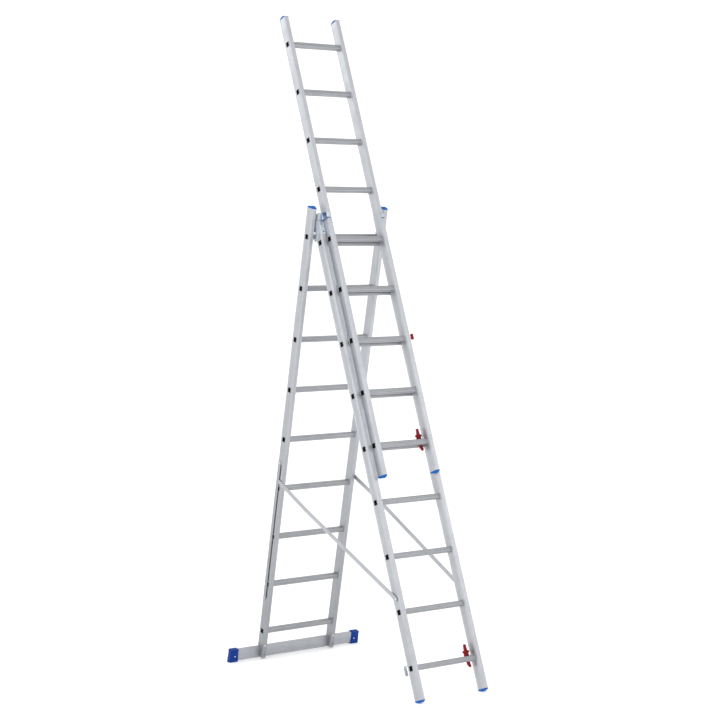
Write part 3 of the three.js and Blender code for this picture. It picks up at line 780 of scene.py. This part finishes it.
class RungsOperator(bpy.types.Operator):
    """Draws one hollow, ribbed rung for each section and repeats it up the stiles"""
    bl_idname = "ladder.add_rungs"
    bl_label = "Rungs"

    DEPTH, HEIGHT, CORNER, CELL_CORNER = 30, 28, 7, 3.6
    SIDE_GROOVES, TREAD_GROOVES, GROOVE_WIDTH = (-4, 0, 4), (-6, -3, 0, 3, 6), 1.5
    OVERHANG, BORE_DEPTH = 0.7, 14
    # Distance beyond the stile's outer face, and share of the full flare there.
    FLARE = ((OVERHANG, 0.6), (0.5, 1), (0.1, 1), (0, 0), (-24.8, 0), (-25.2, 1), (-28, 0.9), (-31, 0.15), (-34, 0))

    def execute(self, context):
        settings = context.scene.ladder_extrusions
        tree = shared_tree("Rung run")
        for section in SECTIONS:
            rungs = self.draw_rung(section, settings)
            run_tree(rungs, tree, {
                "Rung Count": settings.rung_count, "Rung Pitch": settings.rung_pitch,
                "Finish": finish_called(f"ribbed_rung_of_{section}"), "Bore Shade": finish_called("rung_bore_shade")})
            settle(rungs, PLACES[section])
            hand_over(rungs, f"{section}_section", "rung_aluminium",
                      *(f"{section}_rung_{index + 1}" for index in range(RUNG_COUNT)))
        return {"FINISHED"}

    def draw_rung(self, section, settings):
        """A ribbed tube, flared at the stiles, whose web stops short of its two ends."""
        half = WIDTHS[section] / 2
        flare, wall, groove = settings.rung_flare / MM, settings.rung_wall / MM, settings.rung_groove / MM
        ends = [(half + beyond, flare * share) for beyond, share in self.FLARE]
        stations = [(-x, swell) for x, swell in ends] + [(x, swell) for x, swell in reversed(ends)]
        outline = grooved_outline(self.DEPTH, self.HEIGHT, self.CORNER, self.TREAD_GROOVES, self.SIDE_GROOVES,
                                  self.GROOVE_WIDTH, groove)
        bm = bmesh.new()
        bm.faces.layers.bool.new("bore")
        outside = []
        for x, swell in stations:
            grown = 1 + swell / (self.DEPTH / 2)
            outside.append([bm.verts.new((x, p.x * grown, p.y * grown)) for p in outline])
        for near, far in zip(outside, outside[1:]):
            join_rings(bm, near, far)
        self.bore_out(bm, half, wall, (outside[0], outside[-1]))
        bmesh.ops.recalc_face_normals(bm, faces=bm.faces)
        return object_from(bm, f"{section}_rungs_ribbed")

    def bore_out(self, bm, half, wall, rims):
        """The two cells, which open into one figure of eight at each end of the rung."""
        cell_height = (self.HEIGHT - 3 * wall) / 2
        cell = grooved_outline(self.DEPTH - 2 * wall, cell_height, self.CELL_CORNER)
        shift = (cell_height + wall) / 2
        mouth, web_end = half + self.OVERHANG, half - self.BORE_DEPTH
        cells = [[[bm.verts.new((x, p.x, p.y + side * shift)) for p in cell] for side in (1, -1)]
                 for x in (-mouth, -web_end, web_end, mouth)]
        side_end = len(cell) // 2
        eights = [upper + lower[side_end:] + lower[:side_end] for upper, lower in cells]
        # Faces inside the rung, which get the painted shade of the bore.
        dark = []
        for outer, inner, rim in ((0, 1, rims[0]), (3, 2, rims[1])):
            dark += join_rings(bm, eights[outer], eights[inner])
            upper, lower = cells[inner]
            dark.append(bm.faces.new((upper[-1], lower[side_end], lower[side_end - 1], upper[0])))
            edges = [bm.edges.get((ring[i - 1], ring[i])) for ring in (rim, eights[outer]) for i in range(len(ring))]
            bmesh.ops.triangle_fill(bm, use_beauty=True, edges=edges)
        for near, far in zip(cells[1], cells[2]):
            dark += join_rings(bm, near, far)
        bore = bm.faces.layers.bool["bore"]
        for face in dark:
            face[bore] = True


class CapsOperator(bpy.types.Operator):
    """Moulds the domed blue caps that close the stiles"""
    bl_idname = "ladder.add_caps"
    bl_label = "End caps"

    ENDS = (("middle", "bottom"), ("upper", "bottom"), ("upper", "top"), ("rear", "top"))
    RIM, BULGE, STEPS, TREAD_DEPTH = 2, 10, 36, 0.7
    PLUG_HALF_WIDTH, PLUG_HALF_DEPTH, PLUG_LENGTH, PLUG_OVERLAP = 9.3, 25.8, 17, 3

    def execute(self, context):
        rounding = context.scene.ladder_fittings.plastic_round
        for section, end in self.ENDS:
            up = end == "top"
            for side, sign in SIDES:
                centre = stile_centre(section, sign)
                edge = TOP_RUNG + STILE_ABOVE if up else STILE_BELOW
                bm = bmesh.new()
                outline = [(y, z if up else -z) for y, z in self.side_view(edge, treads=not up)]
                add_prism(bm, outline, centre - STILE_WIDTH / 2, centre + STILE_WIDTH / 2, ALONG_X)
                cap = object_from(bm, f"{section}_{end}_cap_{side}_moulded")
                round_edges(cap, rounding, angle=50)
                settle(cap, PLACES[section], finish_called("blue_cap"))
                self.add_plug(cap, centre, edge, up, PLACES[section])
                hand_over(cap, f"{section}_section", "blue_plastic", f"{section}_{end}_cap_{side}")
        return {"FINISHED"}

    def side_view(self, edge, treads):
        """The dome beyond a stile's end at the given distance, with shallow treads if it stands on the ground."""
        radius = (HALF_DEPTH ** 2 + self.BULGE ** 2) / (2 * self.BULGE)
        half = math.asin(HALF_DEPTH / radius)
        points = [(-HALF_DEPTH, edge + GAP)]
        for step in range(self.STEPS + 1):
            angle = -half + 2 * half * step / self.STEPS
            trodden = treads and 5 < step < self.STEPS - 5 and step % 3 == 1
            own = radius - (self.TREAD_DEPTH if trodden else 0)
            points.append((own * math.sin(angle), edge + GAP + self.RIM + self.BULGE - radius + own * math.cos(angle)))
        points.append((HALF_DEPTH, edge + GAP))
        return points

    def add_plug(self, cap, centre, edge, up, place):
        """The plug inside the stile, joined to the cap."""
        bm = bmesh.new()
        bm.from_mesh(cap.data)
        extra = bmesh.new()
        ends = (edge - self.PLUG_LENGTH, edge + self.PLUG_OVERLAP)
        low, high = ends if up else (-ends[1], -ends[0])
        add_block(extra, (centre - self.PLUG_HALF_WIDTH, -self.PLUG_HALF_DEPTH, low),
                  (centre + self.PLUG_HALF_WIDTH, self.PLUG_HALF_DEPTH, high))
        plug = bpy.data.meshes.new("cap_plug")
        extra.to_mesh(plug)
        extra.free()
        plug.transform(place @ Matrix.Scale(MM, 4))
        bm.from_mesh(plug)
        bm.to_mesh(cap.data)
        bm.free()
        bpy.data.meshes.remove(plug)
        cap.data.set_sharp_from_angle(angle=SHARP_ANGLE)


class GuidesOperator(bpy.types.Operator):
    """Bends the two steel straps that guide the upper section at the head of the middle one"""
    bl_idname = "ladder.add_guides"
    bl_label = "Guide brackets"

    # Distances from the ladder's middle plane, and heights above the top rung.
    TONGUE_INNER, TONGUE_OUTER, TONGUE_LOW, TONGUE_HIGH = 179.6, 207.4, 37, 149
    STRAP_LIP, STRAP_WEB, STRAP_OUTER = 163.5, 179, 208
    THICKNESS, BEND, INNER_BEND, EAR_RISE, SHOULDER_DROP = 2.5, 4, 1.5, 6, 13
    STRAP_BACK = -HALF_DEPTH - 2.6

    def execute(self, context):
        for side, sign in SIDES:
            bm = bmesh.new()
            self.add_tongue(bm, sign)
            self.add_strap(bm, sign)
            guide = object_from(bm, f"guide_bracket_{side}_bent")
            round_edges(guide, context.scene.ladder_fittings.edge_round, angle=50)
            settle(guide, PLACES["middle"], finish_called("zinc_plate"))
            self.paint_shade_on_web(guide)
            hand_over(guide, "middle_section", "zinc_steel", f"guide_bracket_{side}")
        return {"FINISHED"}

    def paint_shade_on_web(self, guide):
        """Paints shade on the web beside the upper stile and on the strap's lowest band: both get a darker blue zinc
        that stands in for their shade and dark reflection.
        """
        guide.data.materials.append(finish_called("zinc_painted_shade"))
        inward = PLACES["middle"].inverted()
        low = TOP_RUNG + STRAP_LOW
        for face in guide.data.polygons:
            spot = inward @ face.center / MM
            web = abs(face.normal.x) > 0.9 and -NEST_DEPTH - HALF_DEPTH + 3 < spot.y < -HALF_DEPTH - 6
            rim = low - 1 < spot.z < low + SHADED_BAND_HEIGHT and spot.y < self.STRAP_BACK
            face.material_index = 1 if web or rim else 0

    def add_tongue(self, bm, sign):
        """The flat tongue that is riveted to the stile's front face, round at its foot."""
        outer, inner = self.TONGUE_OUTER, self.TONGUE_INNER
        foot, head = TOP_RUNG + self.TONGUE_LOW, TOP_RUNG + self.TONGUE_HIGH
        middle, half = (outer + inner) / 2, (outer - inner) / 2
        outline = arc_points((middle, foot + half), half, 180, 360, 14)
        outline += [Vector((outer, head)), Vector((inner, head))]
        add_prism(bm, mirrored(outline, sign), -HALF_DEPTH - 2.8, -HALF_DEPTH - GAP, ALONG_Y)

    def add_strap(self, bm, sign):
        """The strap over the tongue: along the stile's front, forward past the upper stile and round its front."""
        thick, bend, tight = self.THICKNESS, self.BEND, self.INNER_BEND
        back, front = self.STRAP_BACK, -NEST_DEPTH - HALF_DEPTH - 0.7
        outer, web, lip = self.STRAP_OUTER, self.STRAP_WEB, self.STRAP_LIP
        outside = [(outer, back - thick), *arc_points((web + thick + bend, back - thick - bend), bend, 90, 180, 6),
                   (web + thick, front + 2), *arc_points((web + thick - bend, front + bend - thick), bend, 0, -90, 6),
                   (lip, front - thick)]
        inside = [(lip, front), *arc_points((web - tight, front + tight), tight, -90, 0, 4), (web, back), (outer, back)]
        outline = [(sign * p[0], p[1]) for p in map(Vector, outside + inside)]
        low, high = TOP_RUNG + STRAP_LOW, TOP_RUNG + STRAP_HIGH
        # The strap is drawn as two stacked prisms so that its lowest band can take the painted shade.
        add_prism(bm, outline, low, low + SHADED_BAND_HEIGHT - 0.1, ALONG_Z)
        _, top = add_prism(bm, outline, low + SHADED_BAND_HEIGHT, high, ALONG_Z)
        for corner in top:
            forward = (back - corner.co.y) / (back - front)
            if forward > 0.02:
                corner.co.z += self.EAR_RISE - self.SHOULDER_DROP * max(0, min(1, forward))


class HingesOperator(bpy.types.Operator):
    """Copies the hinge plates, their pins and the rung hooks, with rounded edges"""
    bl_idname = "ladder.add_hinges"
    bl_label = "Hinges and hooks"

    def execute(self, context):
        rounding = context.scene.ladder_fittings.edge_round
        finish = finish_called("zinc_plate")
        for side, _ in SIDES:
            for fitting in ("hinge_plate", "hinge_pin", "rung_hook"):
                softened_node(f"{fitting}_{side}", f"{fitting}_{side}_pressed", rounding, finish,
                              "middle_section", "zinc_steel")
        return {"FINISHED"}


class StaysOperator(bpy.types.Operator):
    """Makes the two stays and the tracks beside their slots"""
    bl_idname = "ladder.add_stays"
    bl_label = "Stays and tracks"

    # The track's section: how far it stands off the stile, and its place from front to back.
    TRACK = ((0, 2), (1.5, 2), (1.5, 4.5), (0.9, 5.2), (0.9, 22.8), (1.5, 23.5), (1.5, 26), (0, 26))

    def execute(self, context):
        face = WIDTHS["rear"] / 2 + GAP
        for side, sign in SIDES:
            softened_node(f"stay_{side}", f"stay_{side}_strip", 0.5 * MM, finish_called("stay_strip"),
                          f"stay_{side}", "stile_aluminium")
            bm = bmesh.new()
            add_prism(bm, [(sign * (face + x), y) for x, y in self.TRACK], TRACK_LOW, TRACK_HIGH, ALONG_Z)
            track = object_from(bm, f"stay_track_{side}_rolled")
            round_edges(track, 0.25 * MM, 2, angle=50)
            settle(track, PLACES["rear"], finish_called("drawn_stile_of_rear"))
            hand_over(track, "rear_section", "stile_aluminium", f"stay_track_{side}")
        return {"FINISHED"}


class BarOperator(bpy.types.Operator):
    """Draws the grooved stabiliser bar under the rear section"""
    bl_idname = "ladder.add_bar"
    bl_label = "Stabiliser bar"

    WALL, CORNER, INNER_CORNER = 2, 2.8, 1.2
    NARROW_GROOVES, WIDE_GROOVES, GROOVE_WIDTH, GROOVE_DEPTH = (-5, 0, 5), (-27, -22, 22, 27), 2.2, 0.55

    def execute(self, context):
        outer = grooved_outline(BAR_DEPTH, BAR_HEIGHT, self.CORNER, self.NARROW_GROOVES, self.WIDE_GROOVES,
                                self.GROOVE_WIDTH, self.GROOVE_DEPTH)
        inner = grooved_outline(BAR_DEPTH - 2 * self.WALL, BAR_HEIGHT - 2 * self.WALL, self.INNER_CORNER)
        bar = profile_object("stabiliser_bar_extrusion", outer, inner, -BAR_HALF_LENGTH)
        bm = bmesh.new()
        add_block(bm, (-1, 200, 0), (1, 202, 2))
        cuts = object_from(bm, "bar_cuts")
        run_tree(bar, shared_tree("Pierced extrusion"), {
            "Length": 2 * BAR_HALF_LENGTH * MM, "Rung Count": 1, "Rung Pitch": 1.0, "Rung Cutter": cuts,
            "Other Cuts": cuts, "Finish": finish_called("stabiliser_extrusion_of_rear")})
        lying = Matrix(((0, 0, 1, 0), (1, 0, 0, (BAR_FRONT + BAR_DEPTH / 2) * MM),
                        (0, 1, 0, (-BAR_DROP - BAR_HEIGHT / 2) * MM), (0, 0, 0, 1)))
        settle(bar, PLACES["rear"] @ lying)
        hand_over(bar, "rear_section", "stile_aluminium", "stabiliser_bar")
        discard(cuts)
        return {"FINISHED"}


class FeetOperator(bpy.types.Operator):
    """Moulds the blue shoes on the stabiliser bar, with treads under their soles"""
    bl_idname = "ladder.add_feet"
    bl_label = "Bar feet"

    LENGTH, WALL, TOE, TREAD_DEPTH, STEPS = 50, 3, 2.5, 1.6, 14
    NUB_SIZE, NUB_LOW, NUB_HIGH = 6, 60, 44

    def execute(self, context):
        for side, sign in SIDES:
            bm = bmesh.new()
            ends = sorted((sign * FEET_HALF_SPAN, sign * (FEET_HALF_SPAN - self.LENGTH)))
            add_prism(bm, self.side_view(), *ends, ALONG_X)
            self.add_nubs(bm, sign)
            foot = object_from(bm, f"bar_foot_{side}_moulded")
            round_edges(foot, context.scene.ladder_fittings.plastic_round, angle=40)
            settle(foot, PLACES["rear"], finish_called("blue_foot"))
            hand_over(foot, "rear_section", "blue_plastic", f"bar_foot_{side}")
        return {"FINISHED"}

    def side_view(self):
        """The shoe in y and z: a flange at its top, a waist, and a flared pad with a level, treaded sole."""
        lean = -LEANS["rear"]
        drop = PLACES["rear"].translation.z / MM
        toe, wall = self.TOE, self.WALL
        front, back = BAR_FRONT - wall, BAR_FRONT + BAR_DEPTH + wall
        top, waist = -BAR_DROP + wall, -BAR_DROP - BAR_HEIGHT * 0.55
        sole = []
        for step in range(self.STEPS + 1):
            y = front - toe + (back - front + 2 * toe) * step / self.STEPS
            lift = self.TREAD_DEPTH if step % 4 in (2, 3) else 0
            sole.append(Vector((y, (lift - drop - y * math.sin(lean)) / math.cos(lean))))
        body = [(back + toe, waist - 8), (back, waist), (back, top - 6), (back + toe, top - 4.5), (back + toe, top),
                (front - toe, top), (front - toe, top - 4.5), (front, top - 6), (front, waist), (front - toe, waist - 8)]
        return sole + [Vector(p) for p in body]

    def add_nubs(self, bm, sign):
        """Small blocks moulded on the outer end, beside the pad."""
        face = sign * FEET_HALF_SPAN
        for y in (BAR_FRONT + 3, BAR_FRONT + BAR_DEPTH - 9):
            low, high = sorted((face - sign * 5, face - sign * 0.2))
            add_block(bm, (low, y, -BAR_DROP - self.NUB_LOW), (high, y + self.NUB_SIZE, -BAR_DROP - self.NUB_HIGH))


class LeversOperator(bpy.types.Operator):
    """Moulds the two red rung levers with their ribbed grips"""
    bl_idname = "ladder.add_levers"
    bl_label = "Rung levers"

    OUTLINE = ((-5, 76), (5, 76), (7, 52), (9, 44), (17, 44), (18, 34), (11, 31), (13, 18), (7, 12), (8, -14),
               (12, -34), (10, -42), (4, -40), (-6, -26), (-8, 12), (-14, 18), (-12, 31), (-18, 34), (-17, 44),
               (-9, 44), (-7, 52))
    FROM_EDGE, THICKNESS, BOSS_HEIGHT, BOSS_RADIUS = 51, 12, 24, 6

    def execute(self, context):
        for section in ("middle", "upper"):
            centre = WIDTHS[section] / 2 - self.FROM_EDGE
            bm = bmesh.new()
            outline = list(reversed([(centre + x, z) for x, z in self.OUTLINE]))
            add_prism(bm, outline, LEVER_FRONT, LEVER_FRONT + self.THICKNESS, ALONG_Y)
            self.add_grips(bm, centre)
            lever = object_from(bm, f"{section}_lock_lever_moulded")
            round_edges(lever, context.scene.ladder_fittings.plastic_round, angle=28)
            settle(lever, PLACES[section], finish_called("red_lever"))
            hand_over(lever, f"{section}_lever", "red_plastic", f"{section}_lock_lever")
        return {"FINISHED"}

    def add_grips(self, bm, centre):
        """Cross ribs on the stem's front and a boss where the lever turns."""
        for height in (50, 56, 62, 68):
            add_block(bm, (centre - 4.4, LEVER_FRONT - 0.9, height), (centre + 4.4, LEVER_FRONT + 1, height + 2.4))
        boss = arc_points((centre, self.BOSS_HEIGHT), self.BOSS_RADIUS, 0, 345, 23)
        add_prism(bm, boss, LEVER_FRONT - 1.4, LEVER_FRONT + 1, ALONG_Y)


class KnobOperator(bpy.types.Operator):
    """Moulds the winged handle of the spring plunger, and turns its pin and nut"""
    bl_idname = "ladder.add_knob"
    bl_label = "Lock knob"

    # Distances out from the stile's face, with heights from the pin's axis or radii about it.
    WINGS = ((11, -7), (14, -8), (15.5, -15.5), (26.4, -15.5), (28.2, -12), (28.2, 12), (26.4, 15.5),
             (15.5, 15.5), (14, 8), (11, 7))
    NUT, NUT_BORE = ((0.3, 7), (4, 7), (4.6, 6.5)), ((4.6, 4.4), (0.3, 4.4))
    HALF_THICKNESS, RIB_PITCH, RIB_HALF_HEIGHT, RIB_HALF_DEPTH = 4.5, 3.6, 0.7, 3.4
    CORNERS = 48

    def execute(self, context):
        face = WIDTHS["middle"] / 2
        tip = WIDTHS["upper"] / 2 + 1.5
        self.mould_handle(face, context.scene.ladder_fittings.plastic_round)

        bm = bmesh.new()
        ends = self.turn(bm, ((tip, 2.6), (tip + 1.5, 4), (face + 12, 4), (face + 12.5, 3.5)))
        bm.faces.new(ends[0])
        bm.faces.new(ends[-1])
        self.finish_steel(bm, "lock_knob_plunger", "lock_knob")

        bm = bmesh.new()
        rings = self.turn(bm, [(face + x, radius) for x, radius in self.NUT], six_sided)
        bore = self.turn(bm, [(face + x, radius) for x, radius in self.NUT_BORE])
        join_rings(bm, rings[-1], bore[0])
        join_rings(bm, bore[-1], rings[0])
        self.finish_steel(bm, "lock_nut_hexagonal", "middle_section")
        return {"FINISHED"}

    def mould_handle(self, face, rounding):
        """The handle's two wings, with small ribs on its outer face."""
        bm = bmesh.new()
        add_prism(bm, [(face + x, LOCK_HEIGHT + z) for x, z in self.WINGS],
                  LOCK_BACK - self.HALF_THICKNESS, LOCK_BACK + self.HALF_THICKNESS, ALONG_Y)
        for rib in range(-3, 4):
            height = LOCK_HEIGHT + rib * self.RIB_PITCH
            add_block(bm, (face + 27, LOCK_BACK - self.RIB_HALF_DEPTH, height - self.RIB_HALF_HEIGHT),
                      (face + 29, LOCK_BACK + self.RIB_HALF_DEPTH, height + self.RIB_HALF_HEIGHT))
        handle = object_from(bm, "lock_knob_winged")
        round_edges(handle, rounding, angle=28)
        settle(handle, PLACES["middle"], finish_called("red_lever"))
        hand_over(handle, "lock_knob", "red_plastic", "lock_knob")

    def turn(self, bm, profile, shape=lambda angle: 1):
        """Rings of a profile of x and radius about the pin's axis, joined in their order."""
        rings = []
        for x, radius in profile:
            ring = []
            for index in range(self.CORNERS):
                angle = 2 * math.pi * index / self.CORNERS
                out = radius * shape(angle)
                ring.append(bm.verts.new((x, LOCK_BACK + out * math.cos(angle), LOCK_HEIGHT + out * math.sin(angle))))
            rings.append(ring)
        for near, far in zip(rings, rings[1:]):
            join_rings(bm, near, far)
        return rings

    def finish_steel(self, bm, name, body):
        bmesh.ops.recalc_face_normals(bm, faces=bm.faces)
        turned = object_from(bm, name)
        settle(turned, PLACES["middle"], finish_called("zinc_plate"))
        hand_over(turned, body, "zinc_steel")


def six_sided(angle):
    """How much further out a hexagon is at an angle than at the middle of a flat."""
    return 1 / math.cos((angle + math.pi / 6) % (math.pi / 3) - math.pi / 6)


class RivetsOperator(bpy.types.Operator):
    """Sets the rivets and bolts, one set for each body"""
    bl_idname = "ladder.add_rivets"
    bl_label = "Rivets and bolts"

    # Distances from the ladder's middle plane to the middles, or the faces, of the riveted pieces.
    PLATE, HINGE_SIDE, HOOK, TRACK, REAR_STILE, REAR_SIDE, FOOT = 193.5, 211.1, 193, 240.3, 226.5, 239.1, 396
    FRONT, BACK = (0, -1, 0), (0, 1, 0)

    def execute(self, context):
        settings = context.scene.ladder_fittings
        middle, holes, rear, bolts, feet = [], [], [], [], []
        for _, sign in SIDES:
            outward = (sign, 0, 0)
            middle += [((sign * self.PLATE, -HALF_DEPTH - 2.9, TOP_RUNG + 68), self.FRONT)]
            # A dark head sits in the hole under each guide's rivet: painted shade of the hole.
            holes += [((sign * self.PLATE, -HALF_DEPTH - 2.5, TOP_RUNG + 51), self.FRONT)]
            middle += [((sign * self.HINGE_SIDE, y, TOP_RUNG + height), outward)
                       for y, height in ((2, 118), (2, 92), (18, 60))]
            middle += [((sign * self.HOOK, HALF_DEPTH + 3.1, height), self.BACK) for height in (-10, 7)]
            rear += [((sign * self.TRACK, 14, height), outward)
                     for height in (TRACK_LOW + 12, TRACK_LOW + 92, TRACK_HIGH - 12)]
            rear += [((sign * self.REAR_STILE, -HALF_DEPTH - 0.1, -80), self.FRONT)]
            bolts += [((sign * self.REAR_STILE, -HALF_DEPTH - 0.1, -131), self.FRONT),
                      ((sign * self.REAR_SIDE, 14, -84), outward)]
            feet += [((sign * self.FOOT, BAR_FRONT - 3.1, -BAR_DROP - 39), self.FRONT)]
        for name, heads, section, finish in (
                ("middle_section_rivets", middle, "middle", "rivet_aluminium"),
                ("guide_bracket_bolts", holes, "middle", "dark_bolt_and_hole_shade"),
                ("rear_section_rivets", rear, "rear", "rivet_aluminium"),
                ("rear_section_bolts", bolts, "rear", "dark_bolt_and_hole_shade"),
                ("bar_foot_rivets", feet, "rear", "rivet_aluminium")):
            self.set_heads(name, heads, PLACES[section], f"{section}_section", finish, settings)
        for side, sign in SIDES:
            pivot = next(joint["pos_m"] for joint in frame["joints"] if joint["name"] == f"stay_{side}_swing")
            self.set_heads(f"stay_{side}_rivet", [((sign * 1.6, 0, 0), (sign, 0, 0))],
                           Matrix.Translation(Vector(pivot)), f"stay_{side}", "rivet_aluminium", settings)
        return {"FINISHED"}

    def set_heads(self, name, heads, place, body, finish, settings):
        """One head at each spot, turned along its direction."""
        mesh = bpy.data.meshes.new(name)
        mesh.from_pydata([tuple(c * MM for c in spot) for spot, _ in heads], [], [])
        facing = mesh.attributes.new("facing", "FLOAT_VECTOR", "POINT")
        facing.data.foreach_set("vector", [c for _, direction in heads for c in direction])
        holder = object_of(mesh, name)
        run_tree(holder, shared_tree("Rivets"), {
            "Head Radius": settings.rivet_radius, "Head Height": settings.rivet_height,
            "Finish": finish_called(finish)})
        settle(holder, place)
        hand_over(holder, body, "zinc_steel" if finish == "dark_bolt_and_hole_shade" else "stile_aluminium")


OPERATORS = (StilesOperator, RungsOperator, CapsOperator, GuidesOperator, HingesOperator, StaysOperator, BarOperator,
             FeetOperator, LeversOperator, KnobOperator, RivetsOperator, StageOperator)


class LadderPanel(bpy.types.Panel):
    """The ladder's pieces, with their sizes and colours"""
    bl_idname = "VIEW3D_PT_ladder"
    bl_label = "Ladder"
    bl_space_type = "VIEW_3D"
    bl_region_type = "UI"
    bl_category = "Ladder"

    def draw(self, context):
        for holder in (context.scene.ladder_extrusions, context.scene.ladder_finishes,
                       context.scene.ladder_fittings, context.scene.ladder_stage):
            box = self.layout.box()
            for name in holder.__annotations__:
                box.prop(holder, name)
        for operator in OPERATORS:
            self.layout.operator(operator.bl_idname)


GROUPS = {"ladder_extrusions": LadderExtrusions, "ladder_finishes": LadderFinishes,
          "ladder_fittings": LadderFittings, "ladder_stage": LadderStage}


def register():
    for kind in (*GROUPS.values(), *OPERATORS, LadderPanel):
        bpy.utils.register_class(kind)
    for name, kind in GROUPS.items():
        setattr(bpy.types.Scene, name, PointerProperty(type=kind))


def unregister():
    for name in GROUPS:
        delattr(bpy.types.Scene, name)
    for kind in reversed((*GROUPS.values(), *OPERATORS, LadderPanel)):
        bpy.utils.unregister_class(kind)


def main():
    register()
    for operator in OPERATORS:
        group, _, action = operator.bl_idname.partition(".")
        getattr(getattr(bpy.ops, group), action)()


if __name__ == "__main__":
    main()
